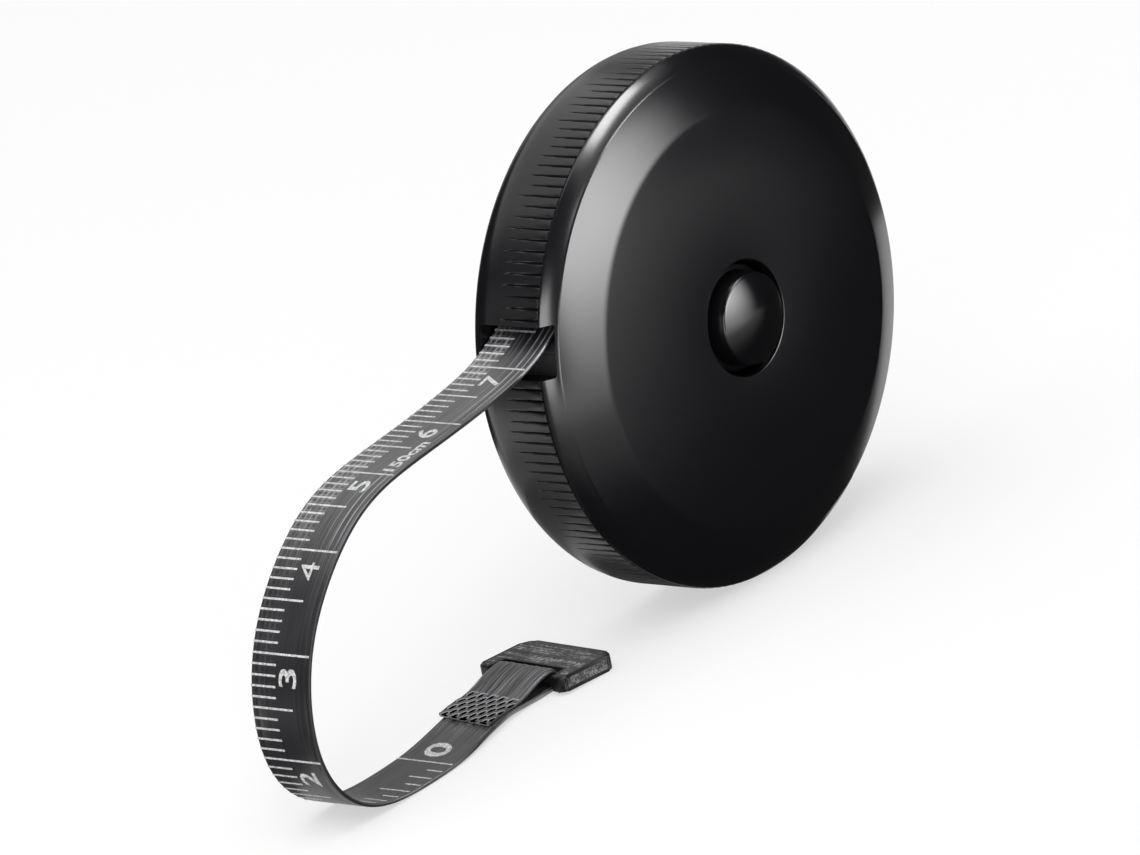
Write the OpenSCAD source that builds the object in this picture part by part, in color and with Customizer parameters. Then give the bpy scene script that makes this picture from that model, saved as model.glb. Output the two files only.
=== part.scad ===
// Pocket tape measure: a round case on its rim, a spring reel inside and the tape pulled out a little.
// +Z is up, the floor is z = 0, the front cover faces -Y and the tape leaves towards -X.

/* [Case] */
// Outer diameter of the case
case_dia = 52; // [50:0.5:56]
// Thickness of the case, back face to front face
case_t = 13; // [12.8:0.1:15]
// Thickness of the round side wall
band_wall = 1.4; // [1.2:0.1:1.6]
// Thickness of the back wall
rear_wall = 1.3; // [1.2:0.1:1.5]
// Radius of the rounding along the back edge
rear_round = 3.2; // [2.4:0.1:4]
// Height of the seam between the two shells above the back face
seam_h = 9.6; // [9.4:0.1:9.9]
// Diameter of the flat front face
face_dia = 40.6; // [38:0.2:42]
// Width of the sloping ring round the front face
slope_w = 4; // [3:0.1:4.4]
// How far the sloping ring drops
slope_drop = 2.1; // [1.6:0.1:2.4]
// Radius of the rounded rim between that ring and the seam
rim_round = 3.5; // [2.5:0.1:4]
// Thickness of the front cover
cover_wall = 1.3; // [1.1:0.1:1.4]
// Length of the ring that holds the cover in the rear shell
spigot_len = 1.2; // [0.8:0.1:2]
// Thickness of that ring
spigot_wall = 1.2; // [0.8:0.1:1.4]

/* [Grip ribs] */
// Number of ribs round the case
rib_count = 150; // [90:2:180]
// Length of the ribs back from the seam
rib_len = 4.9; // [3:0.1:6]
// Depth of the grooves between the ribs
rib_depth = 0.3; // [0.1:0.05:0.4]
// How far the ribs' tops lie below the smooth part of the case
rib_recess = 0.08; // [0.05:0.01:0.15]

/* [Mouth] */
// Height of the lower lip above the reel's axis
mouth_low = 3.6; // [3:0.1:4]
// Height of the mouth
mouth_h = 4.9; // [4.4:0.1:5.4]
// How far the mouth runs past the seam, into the cover
mouth_over = 1.15; // [0.9:0.05:1.3]
// Radius of the rounded edge that the tape slides over
guide_r = 1; // [0.8:0.1:1.1]
// Distance of that edge's middle from the side wall
guide_in = 1.75; // [1.6:0.05:2]
// Height of that edge's middle above the lower lip
guide_rise = 2; // [1.6:0.1:2.1]
// Length of the guide's foot below the lower lip
guide_foot = 3; // [2:0.1:4]
// Depth of the guide, inwards from the side wall
guide_depth = 3; // [2.6:0.1:3.4]

/* [Tape] */
// Width of the tape
tape_w = 7.3; // [6.6:0.1:7.5]
// Thickness of the tape
tape_t = 0.4; // [0.3:0.01:0.42]
// Length of tape wound on the reel
wound_len = 1428; // [1200:1:1440]

/* [Reel] */
// Diameter of the reel's two flanges
flange_dia = 40; // [38:0.5:42]
// Thickness of the flanges
flange_t = 0.7; // [0.5:0.05:0.8]
// Outer diameter of the drum that the tape is wound on
drum_dia = 24.4; // [23.6:0.1:24.8]
// Thickness of the drum's wall
drum_wall = 1; // [0.9:0.05:1.2]
// Thickness of the web between the drum and its hub
web_t = 0.7; // [0.5:0.05:0.9]
// Diameter of the hub boss
hub_dia = 9.2; // [8.8:0.1:10]
// Radius of the pin that holds the tape's inner end
pin_r = 0.45; // [0.35:0.05:0.5]

/* [Spindle and mainspring] */
// Diameter of the arbor that the mainspring is hooked to
arbor_dia = 7.2; // [6.6:0.1:7.6]
// Diameter of the journal that the reel turns on
journal_dia = 5.9; // [5.5:0.1:6.2]
// Diameter of the foot pressed into the back wall
foot_dia = 9.2; // [8.6:0.1:10]
// Depth of the foot's seat in the back wall
foot_depth = 0.8; // [0.6:0.05:0.9]
// Diameter of the post that guides the button
post_dia = 4; // [3.6:0.1:4.2]
// Width of the mainspring's strip
spring_w = 3.4; // [3:0.1:3.6]
// Thickness of the mainspring's strip
spring_t = 0.3; // [0.15:0.01:0.35]
// Turns of the mainspring
spring_turns = 9; // [6:1:10]
// Thickness of the washer under the reel
washer_t = 0.3; // [0.2:0.05:0.4]
// Diameter of the washer under the reel
washer_dia = 16; // [14:0.5:20]

/* [Button and brake] */
// Diameter of the button
button_dia = 10.3; // [9.8:0.1:10.6]
// Height of the button above the front face
button_h = 2; // [1.6:0.1:2.6]
// Height of the button's dome above its edge
dome_h = 1; // [0.6:0.1:1.2]
// Diameter of the dome's edge
dome_dia = 8.4; // [8:0.1:9]
// Gap between the button and the hole in the cover
button_gap = 0.42; // [0.2:0.02:0.5]
// How far the button travels
travel = 1.4; // [1:0.1:1.5]
// Wall of the button's stem
stem_wall = 1; // [0.9:0.05:1.05]
// Diameter of the plate at the bottom of the button
plate_dia = 18; // [17:0.2:18.6]
// Thickness of that plate
plate_t = 1; // [0.8:0.05:1.1]
// Thickness of the rubber brake ring
brake_t = 0.6; // [0.5:0.05:0.7]
// Width of the rubber brake ring
brake_w = 2.1; // [1.4:0.1:2.4]
// Wire diameter of the button's spring
coil_wire = 0.45; // [0.3:0.05:0.5]
// Turns of the button's spring
coil_turns = 5; // [4:1:6]

/* [End tab] */
// Width of the tab, across the tape
tab_w = 11.6; // [11:0.1:13]
// Length of the tab from its bar to its far edge
tab_len = 6.2; // [5.4:0.1:8]
// Thickness of the tab
tab_t = 1.6; // [1.4:0.1:1.8]
// Width of the tab's two arms beside the tape
arm_w = 1.5; // [1.2:0.1:1.6]
// Width of the slot for the tape, from the bar to the plate
slot_w = 1.3; // [1.1:0.1:1.6]
// Diameter of the bar in the tape's loop
bar_dia = 1.2; // [1:0.05:1.2]
// Radius of the tab's corners
tab_corner = 0.9; // [0.5:0.1:1.2]

/* [Fits] */
// Radial gap of what turns or slides on a shaft
run_fit = 0.05; // [0.02:0.01:0.1]
// Radial gap of what is pressed or snapped together
seat_fit = 0.02; // [0.01:0.01:0.03]
// Axial gap between pieces that rub
rub_gap = 0.05; // [0.03:0.01:0.08]
// Gap between the tape's edges and the flanges
side_gap = 0.15; // [0.1:0.01:0.2]

/* [Hidden] */
$fn = 96;
cut = 1;                                  // how far a cutting shape runs past the face it cuts

// Radii. Heights named *_d are measured forward from the back face.
case_r = case_dia / 2;
band_in = case_r - band_wall;
face_r = face_dia / 2;
rim_r = face_r + slope_w;
hole_r = button_dia / 2 + button_gap;
drum_r = drum_dia / 2;
drum_in = drum_r - drum_wall;
arbor_r = arbor_dia / 2;
journal_r = journal_dia / 2;
post_r = post_dia / 2;

// The stack from the back wall to the front cover
washer_d = rear_wall;
reel_d = washer_d + washer_t + rub_gap;
coil_d = reel_d + flange_t + side_gap;
brake_face_d = coil_d + tape_w + side_gap;
cover_in_d = case_t - cover_wall;
total_d = case_t + button_h;
mouth_w = seam_h + mouth_over - coil_d + side_gap;

// The spring motor
lid_t = 0.4;
lid_d = reel_d + rub_gap;
spring_d = lid_d + lid_t + side_gap;
web_d = spring_d + spring_w + 0.2;
hub_top_d = web_d + web_t + 0.25;
journal_top_d = hub_top_d + side_gap;
seat_t = 0.3;
clip_t = 0.35;
clip_w = 0.9;
clip_bite = 0.4;
clip_gap = 2.8;
clip_d = journal_top_d + seat_t;
key_h = 0.6;
key_w = 1;
key_d = clip_d + clip_t + 0.35;

// The button, its brake and its spring
plate_top_d = brake_face_d - rub_gap - brake_t;
roof_d = case_t + button_h - dome_h - 0.7;
collar_w = 1.4;
collar_h = 0.8;
post_top_d = roof_d - travel - 0.2;
stem_in = button_dia / 2 - stem_wall;
sleeve_in = post_r + run_fit;
sleeve_out = sleeve_in + 1.1;
sleeve_len = 3.9;
sleeve_end_d = roof_d - sleeve_len;
lip_in = button_dia / 2 + 1.25;

// The coil of wound tape
coil_in = drum_r + 0.1;
coil_out = sqrt(pow(coil_in, 2) + wound_len * tape_t / PI);

// The tape's middle line lies in the coil's own plane, y = tape_y, until it nears the tab. The routes
// were drawn with the mouth's lower lip at drawn_lip, and are drawn out to follow it where it moves.
tape_y = total_d / 2 - coil_d - tape_w / 2;
drawn_lip = [-26, 29.6];
lip_moved = [-case_r, case_r + mouth_low] - drawn_lip;
axis_moved = [0, case_r + drawn_lip[0]];
function eased(route, at_start, at_end) = let (last = len(route) - 1)
    [for (i = [0:last]) route[i] + at_start * (1 - i / last) + at_end * i / last];
// Each point is [x, z], from the coil to the mouth.
run_route = [[-10.5, 41.4], [-14, 39], [-17.5, 36.6], [-20.5, 34.5], [-22.5, 33.2], [-24.3, 32.3],
             [-26.2, 31.5]];
// From the mouth round the curl to the floor
blade_route = [[-26.4, 31.45], [-29, 30.85], [-32, 30.4], [-35, 30], [-38, 29.7], [-41, 29.45],
               [-44, 29.2], [-47, 28.9], [-50, 28.4], [-53, 27.3], [-55.5, 25.8], [-58, 23.8],
               [-60.3, 21.5], [-62.2, 19], [-63.6, 16.2], [-64.5, 13.2], [-64.9, 10.2],
               [-64.7, 7.4], [-63.8, 4.9], [-62.2, 2.8], [-60, 1.3], [-57.4, 0.5], [-54.5, 0.2],
               [-51.5, 0.2], [-48.5, 0.2]];
// Each point is [x, side, z, turn]: how far the tape strays sideways, and how far it is turned.
flat_route = [[-48.5, 0, 0.2, 0], [-46, 0.1, 0.3, -1], [-43, 0.5, 0.5, -2], [-40, 1.1, 0.6, -3],
              [-37, 1.7, 0.55, -4], [-34.5, 2.2, 0.35, -5], [-32, 2.6, 0.2, -5]];
fold_route = [[-31.3, 2.7, 1.82, -5], [-32.6, 2.65, 1.55, -5], [-34, 2.55, 1.2, -5],
              [-35.3, 2.4, 0.99, -5], [-37.8, 2.2, 1.01, -5], [-40.2, 1.9, 1.03, -4]];

// The bar of the tab, in the tape's loop
bar_x = -30.1;
bar_side = 2.7;
tab_turn = -5;
loop_r = bar_dia / 2 + 0.05 + tape_t / 2;
bar_z = loop_r + tape_t / 2;
tab_tilt = 2.2;

// ---- helpers ----

// Puts a shape on the reel's axis: its z runs forward from the back face.
module on_axis() {
    translate([0, total_d / 2, case_r]) rotate([90, 0, 0]) children();
}

// A ring between two radii, from one height to another
module ring(inner, outer, from_d, to_d) {
    translate([0, 0, from_d]) difference() {
        cylinder(r = outer, h = to_d - from_d);
        if (inner > 0) translate([0, 0, -cut]) cylinder(r = inner, h = to_d - from_d + 2 * cut);
    }
}

// Points on an arc of radius r that bulges outward from p to q
function arc(p, q, r, steps) =
    let (chord = q - p, half = norm(chord) / 2, mid = (p + q) / 2,
         inward = [chord[1], -chord[0]] / (2 * half),
         c = mid + inward * sqrt(r * r - half * half),
         a0 = atan2(p[1] - c[1], p[0] - c[0]), a1 = atan2(q[1] - c[1], q[0] - c[0]))
    [for (i = [0:steps]) let (a = a0 + (a1 - a0) * i / steps) c + r * [cos(a), sin(a)]];

// The slot through both shells that the tape comes out of. It reaches in past the guide.
module mouth_cut() {
    reach = band_wall + guide_depth + 2 * side_gap;
    translate([-case_r - cut, total_d / 2 - coil_d + side_gap - mouth_w, case_r + mouth_low])
        cube([reach + cut, mouth_w, mouth_h]);
}

// ---- the tape ----

// Directions along a route of [x, y, z, turn] points, and its four-cornered rings
function heading(p, i) =
    let (a = p[max(i - 1, 0)], b = p[min(i + 1, len(p) - 1)], v = [b[0] - a[0], b[2] - a[2]])
    v / norm(v);
function tape_ring(p, i) =
    let (h = heading(p, i), s = [-sin(p[i][3]), cos(p[i][3]), 0] * tape_w / 2,
         n = [-h[1], 0, h[0]] * tape_t / 2, c = [p[i][0], p[i][1], p[i][2]])
    [c - s - n, c + s - n, c + s + n, c - s + n];

// A flat tape swept along a route, one ring of four corners at each point
module tape_sweep(p) {
    last = len(p) - 1;
    corners = [for (i = [0:last], c = tape_ring(p, i)) c];
    sides = [for (i = [0:last - 1], k = [0:3])
             [4 * i + k, 4 * i + (k + 1) % 4, 4 * i + 4 + (k + 1) % 4, 4 * i + 4 + k]];
    polyhedron(corners, concat([[3, 2, 1, 0]], sides,
               [[4 * last, 4 * last + 1, 4 * last + 2, 4 * last + 3]]), convexity = 8);
}

function in_plane(route) = [for (p = route) [p[0], tape_y, p[1], 0]];
function strayed(route) = [for (p = route) [p[0], tape_y + p[1], p[2], p[3]]];

module tape_run() {
    color([0.1, 0.1, 0.11]) tape_sweep(in_plane(eased(run_route, axis_moved, lip_moved)));
}

module tape_blade() {
    color([0.1, 0.1, 0.11]) tape_sweep(in_plane(eased(blade_route, lip_moved, [0, 0])));
}

// The end of the tape: under the bar, round it and back over itself
module tape_loop() {
    around = [for (a = [-90:15:90])
              [bar_x + loop_r * cos(a), tape_y + bar_side, bar_z + loop_r * sin(a), tab_turn]];
    color([0.12, 0.12, 0.13])
        tape_sweep(concat(strayed(flat_route), around, strayed(fold_route)));
}

module tape_coil() {
    color([0.1, 0.1, 0.11]) on_axis() ring(coil_in, coil_out, coil_d, coil_d + tape_w);
}

// ---- the case ----

// Outline of the ribbed band, one flat-topped rib and one groove at a time
function rib_outline() =
    [for (i = [0:rib_count - 1], k = [[-0.3, 0], [0.3, 0], [0.5, rib_depth]])
     let (a = 360 * (i + k[0]) / rib_count) (case_r - rib_recess - k[1]) * [cos(a), sin(a)]];

module rear_shell() {
    rib_d = seam_h - rib_len;
    lap = 0.5;                            // how far the ribbed part reaches into the smooth one
    back_r = case_r - rear_round;
    edge = arc([case_r, rear_round], [back_r, 0], rear_round, 10);
    inner = arc([band_in, rear_round], [back_r - 0.1, rear_wall], rear_round - rear_wall, 6);
    turned = [for (i = [len(inner) - 1:-1:0]) inner[i]];
    color([0.07, 0.07, 0.08]) difference() {
        on_axis() {
            rotate_extrude() polygon(concat([[0, rear_wall], [0, 0]],
                [for (i = [len(edge) - 1:-1:0]) edge[i]], [[case_r, rib_d], [band_in, rib_d]],
                inner));
            translate([0, 0, rib_d - lap]) linear_extrude(rib_len + lap) difference() {
                polygon(rib_outline());
                circle(r = band_in);
            }
        }
        mouth_cut();
        on_axis() translate([0, 0, rear_wall - foot_depth])
            cylinder(r = foot_dia / 2 + seat_fit, h = foot_depth + cut);
    }
}

module front_cover() {
    spigot_out = band_in - seat_fit;
    spigot_in = spigot_out - spigot_wall;
    rim = arc([rim_r, case_t - slope_drop], [case_r, seam_h], rim_round, 6);
    color([0.06, 0.06, 0.07]) difference() {
        on_axis() rotate_extrude() polygon(concat(
            [[hole_r, case_t], [face_r, case_t]], rim,
            [[spigot_out, seam_h], [spigot_out, seam_h - spigot_len],
             [spigot_in, seam_h - spigot_len], [spigot_in, seam_h + 0.3],
             [face_r - 0.7, cover_in_d], [hole_r + collar_w, cover_in_d],
             [hole_r + collar_w, cover_in_d - collar_h], [hole_r, cover_in_d - collar_h]]));
        mouth_cut();
    }
}

// A block in the mouth's lower corner, with the rounded edge that the tape slides over
module mouth_guide() {
    lip_z = case_r + mouth_low + seat_fit;
    guide_x = -band_in + guide_in;
    guide_z = case_r + mouth_low + guide_rise;
    back_y = total_d / 2 - coil_d;
    lip_w = mouth_w - 3 * side_gap;
    foot_w = seam_h - spigot_len - coil_d - side_gap;
    color([0.1, 0.1, 0.11]) intersection() {
        union() {
            translate([guide_x, back_y - lip_w, guide_z]) rotate([-90, 0, 0])
                cylinder(r = guide_r, h = lip_w, $fn = 48);
            translate([-band_in, back_y - lip_w, lip_z])
                cube([guide_in + guide_r, lip_w, guide_z - lip_z]);
            translate([-band_in, back_y - foot_w, lip_z - guide_foot])
                cube([guide_in + guide_r, foot_w, guide_foot + seat_fit]);
        }
        on_axis() ring(band_in - guide_depth, band_in - seat_fit, 0, case_t);
    }
}

// ---- the spindle and what is on it ----

module spindle() {
    hook_slot_w = spring_t + 0.4;
    hook_slot_d = rear_wall + washer_t;
    foot_d = rear_wall - foot_depth;
    color([0.75, 0.76, 0.78]) on_axis() difference() {
        union() {
            ring(0, foot_dia / 2, foot_d, rear_wall);
            ring(0, arbor_r, rear_wall, web_d - 0.1);
            ring(0, journal_r, web_d - 0.1, journal_top_d);
            ring(0, post_r, journal_top_d, post_top_d);
            for (a = [0, 180]) rotate(a)
                translate([0, -key_w / 2, key_d]) cube([post_r + key_h, key_w, post_top_d - key_d]);
        }
        // the slot for the mainspring's inner end, and the groove for the clip
        translate([0, -hook_slot_w / 2, hook_slot_d])
            cube([arbor_r + cut, hook_slot_w, spring_d + spring_w + rub_gap - hook_slot_d]);
        ring(post_r - clip_bite, post_r + cut, clip_d, clip_d + clip_t + seat_fit);
    }
}

module thrust_washer() {
    color([0.85, 0.85, 0.82]) on_axis()
        ring(arbor_r + run_fit, washer_dia / 2, washer_d, washer_d + washer_t);
}

module spring_seat() {
    color([0.7, 0.71, 0.73]) on_axis()
        ring(post_r + run_fit, stem_in - 0.15, journal_top_d, journal_top_d + seat_t);
}

// A snap ring in the post's groove, open on one side
module retaining_clip() {
    color([0.6, 0.61, 0.63]) on_axis() difference() {
        ring(post_r - clip_bite + seat_fit, post_r + clip_w, clip_d, clip_d + clip_t);
        translate([0, -clip_gap / 2, clip_d - cut])
            cube([post_r + clip_w + cut, clip_gap, clip_t + 2 * cut]);
    }
}

// ---- the reel ----

module reel_drum() {
    hub_in = journal_r + run_fit;
    color([0.82, 0.82, 0.8]) on_axis() difference() {
        rotate_extrude() polygon([[drum_in, reel_d], [flange_dia / 2, reel_d],
            [flange_dia / 2, reel_d + flange_t], [drum_r, reel_d + flange_t],
            [drum_r, brake_face_d], [drum_in, brake_face_d], [drum_in, web_d + web_t],
            [hub_dia / 2, web_d + web_t], [hub_dia / 2, hub_top_d], [hub_in, hub_top_d],
            [hub_in, web_d], [drum_in, web_d]]);
        // the groove for the tape's pin
        rotate(60) translate([drum_r + 0.05 - pin_r, 0, reel_d + flange_t])
            cylinder(r = pin_r + seat_fit, h = brake_face_d, $fn = 32);
        // the notch for the mainspring's outer end
        rotate(spring_end_turn()) translate([drum_in - 0.3, -0.6, spring_d - 0.1])
            cube([0.3 + 0.6, 1.2, spring_w + 0.2]);
    }
}

// The front flange; its inner lip is the face that the brake rubs on.
module front_flange() {
    color([0.82, 0.82, 0.8]) on_axis() union() {
        ring(lip_in, flange_dia / 2, brake_face_d, brake_face_d + flange_t);
        ring(drum_in - seat_fit - 0.9, drum_in - seat_fit, brake_face_d - 0.7, brake_face_d);
    }
}

module spring_cover() {
    color([0.72, 0.73, 0.75]) on_axis()
        ring(arbor_r + run_fit, drum_in - seat_fit, lid_d, lid_d + lid_t);
}

module tape_pin() {
    color([0.75, 0.76, 0.78]) on_axis() rotate(60)
        translate([drum_r + 0.05 - pin_r, 0, reel_d + flange_t])
            cylinder(r = pin_r, h = brake_face_d - reel_d - flange_t, $fn = 32);
}

// The flat spiral of the mainspring: hooked in the arbor's slot inside, in the drum's notch outside
function spring_end_turn() = 360 * spring_turns;
function spiral(offset) =
    let (steps = 20 * spring_turns, r0 = arbor_r + 0.3, r1 = drum_in - 0.3)
    [for (i = [0:steps]) let (a = spring_end_turn() * i / steps)
     (r0 + (r1 - r0) * i / steps + offset) * [cos(a), sin(a)]];

module mainspring() {
    outward = spiral(spring_t / 2);
    inward = spiral(-spring_t / 2);
    hook_in = arbor_r - 1.2;
    color([0.35, 0.37, 0.42]) on_axis() translate([0, 0, spring_d]) linear_extrude(spring_w) {
        polygon(concat(outward, [for (i = [len(inward) - 1:-1:0]) inward[i]]));
        translate([hook_in, -spring_t / 2]) square([arbor_r + 0.3 - hook_in, spring_t]);
        rotate(spring_end_turn()) translate([drum_in - 0.3, -spring_t / 2])
            square([0.75, spring_t]);
    }
}

// ---- the button ----

module push_button() {
    rise = roof_d - sleeve_end_d;
    dome_r = dome_dia / 2;
    dome = arc([0, total_d], [dome_r, total_d - dome_h],
               (dome_r * dome_r + dome_h * dome_h) / (2 * dome_h), 8);
    color([0.05, 0.05, 0.06]) on_axis() difference() {
        rotate_extrude() polygon(concat([[0, roof_d]], dome,
            [[button_dia / 2, case_t], [button_dia / 2, plate_top_d],
             [plate_dia / 2, plate_top_d], [plate_dia / 2, plate_top_d - plate_t],
             [stem_in, plate_top_d - plate_t], [stem_in, roof_d], [sleeve_out, roof_d],
             [sleeve_out, sleeve_end_d], [sleeve_in, sleeve_end_d], [sleeve_in, roof_d]]));
        // the keyways that stop the button turning
        translate([-post_r - key_h - 0.15, -key_w / 2 - 0.1, sleeve_end_d - cut])
            cube([2 * (post_r + key_h + 0.15), key_w + 0.2, rise + cut]);
    }
}

module brake_ring() {
    color([0.15, 0.15, 0.15]) on_axis()
        ring(plate_dia / 2 - brake_w, plate_dia / 2, plate_top_d, plate_top_d + brake_t);
}

// The helix of the button's spring, one ring of corners at a time
module button_spring() {
    low = clip_d + coil_wire / 2;
    high = roof_d - coil_wire / 2;
    mean_r = (sleeve_out + stem_in) / 2;
    per_turn = 16;
    sides = 6;
    steps = per_turn * coil_turns;
    corners = [for (i = [0:steps], k = [0:sides - 1])
               let (a = 360 * i / per_turn, b = 360 * k / sides,
                    r = mean_r + coil_wire / 2 * cos(b))
               [r * cos(a), r * sin(a), low + (high - low) * i / steps + coil_wire / 2 * sin(b)]];
    skin = [for (i = [0:steps - 1], k = [0:sides - 1]) let (n = (k + 1) % sides)
            [sides * i + k, sides * i + sides + k, sides * i + sides + n, sides * i + n]];
    ends = [[for (k = [0:sides - 1]) k], [for (k = [sides - 1:-1:0]) sides * steps + k]];
    color([0.7, 0.71, 0.73]) on_axis() polyhedron(corners, concat(skin, ends), convexity = 12);
}

// ---- the end tab ----

// The tab lies flat about its bar, then is tipped so that its far edge rests on the floor.
module end_tab() {
    near = -bar_dia / 2 - 0.25;
    slot_end = bar_dia / 2 + slot_w;
    color([0.08, 0.08, 0.09])
    translate([bar_x, tape_y + bar_side, bar_z]) rotate([0, 0, tab_turn]) rotate([0, tab_tilt, 0]) {
        difference() {
            translate([0, 0, -tab_t / 2]) linear_extrude(tab_t) hull() {
                for (x = [near + tab_corner, tab_len - tab_corner], s = [-1, 1])
                    translate([x, s * (tab_w / 2 - tab_corner)]) circle(r = tab_corner, $fn = 24);
            }
            translate([near - cut, -tab_w / 2 + arm_w, -tab_t])
                cube([slot_end - near + cut, tab_w - 2 * arm_w, 2 * tab_t]);
        }
        rotate([90, 0, 0]) translate([0, 0, -tab_w / 2 + arm_w / 2])
            cylinder(r = bar_dia / 2, h = tab_w - arm_w, $fn = 48);
    }
}

rear_shell();
front_cover();
mouth_guide();
spindle();
thrust_washer();
spring_seat();
retaining_clip();
reel_drum();
front_flange();
spring_cover();
mainspring();
tape_pin();
tape_coil();
tape_run();
tape_blade();
tape_loop();
end_tab();
push_button();
brake_ring();
button_spring();
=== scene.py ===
import functools
import math

import bmesh
import bpy
import numpy as np
from mathutils import Matrix, Vector


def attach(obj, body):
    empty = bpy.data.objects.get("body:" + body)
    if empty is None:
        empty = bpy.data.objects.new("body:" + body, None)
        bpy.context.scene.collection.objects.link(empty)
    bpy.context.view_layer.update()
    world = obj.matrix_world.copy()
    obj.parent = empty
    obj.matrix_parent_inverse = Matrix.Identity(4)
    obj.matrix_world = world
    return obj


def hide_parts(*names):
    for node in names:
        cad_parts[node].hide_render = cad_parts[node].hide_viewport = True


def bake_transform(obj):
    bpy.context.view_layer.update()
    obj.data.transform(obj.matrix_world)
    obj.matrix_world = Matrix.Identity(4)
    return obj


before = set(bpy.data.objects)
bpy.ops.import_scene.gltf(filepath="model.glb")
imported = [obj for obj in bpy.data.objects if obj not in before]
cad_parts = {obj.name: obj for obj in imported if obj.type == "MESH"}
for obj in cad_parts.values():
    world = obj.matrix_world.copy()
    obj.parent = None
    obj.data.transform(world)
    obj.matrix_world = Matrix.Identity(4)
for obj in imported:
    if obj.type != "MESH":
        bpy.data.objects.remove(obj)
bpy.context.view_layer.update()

scene = bpy.context.scene
scene.view_settings.view_transform = "Standard"


# ---- The camera ----
# A long lens on a stand far off at the front left, a little above the case, and turned slightly so
# that the case leans.

def in_scene(name, data):
    """An object of the given mesh, curve, light or camera, put into the scene."""
    made = bpy.data.objects.new(name, data)
    scene.collection.objects.link(made)
    return made


camera = bpy.data.cameras.new("camera")
camera.sensor_width = 36
camera.lens = 274.74
camera.clip_start = 0.05
camera.clip_end = 30
camera_stand = in_scene("camera", camera)
camera_axes = Matrix(((0.62821, -0.74943, -0.20906), (0.37543, 0.05663, 0.92512),
                      (-0.68148, -0.65965, 0.31694)))
camera_stand.matrix_world = (Matrix.Translation((-0.57764, -0.53874, 0.28182))
                             @ camera_axes.transposed().to_4x4())
scene.camera = camera_stand


# ---- The tape's path ----
# The tape is one coated cloth ribbon, 7.3 mm wide and 0.4 mm thick. It leaves the coil, slides over
# the lip of the mouth, curls down to the floor and back, and goes round the bar of the end tab.

tape_w = 7.3
tape_t = 0.4
tape_y = 1.35
bar = (-30.1, 4.05, 1.05)
bar_turn = -5
bar_side = 2.7
loop_r = 0.85
line_step = 0.2

in_case = [(-10.5, 41.4), (-14, 39), (-17.5, 36.6), (-20.5, 34.5), (-22.5, 33.2), (-24.3, 32.3),
           (-26.2, 31.5)]
free = [(-29, 30.85), (-32, 30.4), (-35, 30), (-38, 29.7), (-41, 29.45), (-44, 29.2),
        (-47, 28.9), (-50, 28.4), (-53, 27.3), (-55.5, 25.8), (-58, 23.8), (-60.3, 21.5),
        (-62.2, 19), (-63.6, 16.2), (-64.5, 13.2), (-64.9, 10.2), (-64.7, 7.4), (-63.8, 4.9),
        (-62.2, 2.8), (-60, 1.3), (-57.4, 0.5), (-54.5, 0.2), (-51.5, 0.2)]
on_floor = [(-48.5, 0, 0.2, 0), (-46, 0.2, 0.3, -2), (-43, 0.8, 0.5, -6), (-40, 1.6, 0.6, -8),
            (-37, 2.3, 0.55, -7), (-34.5, 2.6, 0.35, -5), (-32, bar_side, 0.2, bar_turn)]
round_bar = [(bar[0] + loop_r * math.cos(a), bar_side, bar[2] + loop_r * math.sin(a), bar_turn)
             for a in np.radians(np.arange(-90, 91, 15))]
folded = [(-31.3, bar_side, 1.82, -5), (-32.6, bar_side, 1.55, -5), (-34, 2.65, 1.2, -6),
          (-35.3, 2.6, 0.99, -7), (-37.8, 2.4, 1.01, -8), (-40.2, 1.95, 1.03, -8)]


def lengths(points):
    """How far along a chain each of its points is."""
    return np.concatenate([[0], np.cumsum(np.linalg.norm(np.diff(points[:, :3], axis=0), axis=1))])


def smooth_line(points, step):
    """The points [x, side, z, turn] of a smooth line through the given ones, a step apart."""
    p = np.array(points, float)
    s = lengths(p)
    slope = np.gradient(p, s, axis=0)
    t = np.arange(0, s[-1], 0.05)
    k = np.clip(np.searchsorted(s, t, side="right") - 1, 0, len(s) - 2)
    h = (s[k + 1] - s[k])[:, None]
    u = ((t - s[k]) / h[:, 0])[:, None]
    dense = ((2 * u ** 3 - 3 * u ** 2 + 1) * p[k] + (u ** 3 - 2 * u ** 2 + u) * h * slope[k]
             + (3 * u ** 2 - 2 * u ** 3) * p[k + 1] + (u ** 3 - u ** 2) * h * slope[k + 1])
    dense = np.vstack([dense, p[-1]])
    far = lengths(dense)
    even = np.linspace(0, far[-1], int(far[-1] / step) + 1)
    return np.stack([np.interp(even, far, dense[:, c]) for c in range(4)], axis=1)


line = smooth_line([(x, 0, z, 0) for x, z in in_case + free] + on_floor + round_bar + folded,
                   line_step)
run = lengths(line)

# The free part is evened out, so that light runs along it without a ripple.
near_bar = run[np.argmin(np.hypot(line[:, 0] + 36, line[:, 2] - 0.5))]
reach = 40
spread = np.exp(-0.5 * (np.arange(-reach, reach + 1) * line_step / 2.2) ** 2)
padded = np.pad(line, ((reach, reach), (0, 0)), mode="reflect", reflect_type="odd")
evened = np.stack([np.convolve(padded[:, c], spread / spread.sum(), "valid") for c in range(4)],
                  axis=1)
share = np.clip((near_bar - run) / 4, 0, 1)[:, None]
line = line * (1 - share) + evened * share
line[:, 2] = np.maximum(line[:, 2], tape_t / 2)
run = lengths(line)


def station(x, z):
    """How far along the tape the place nearest to (x, z) is."""
    return float(run[np.argmin(np.hypot(line[:, 0] - x, line[:, 2] - z))])


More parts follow.
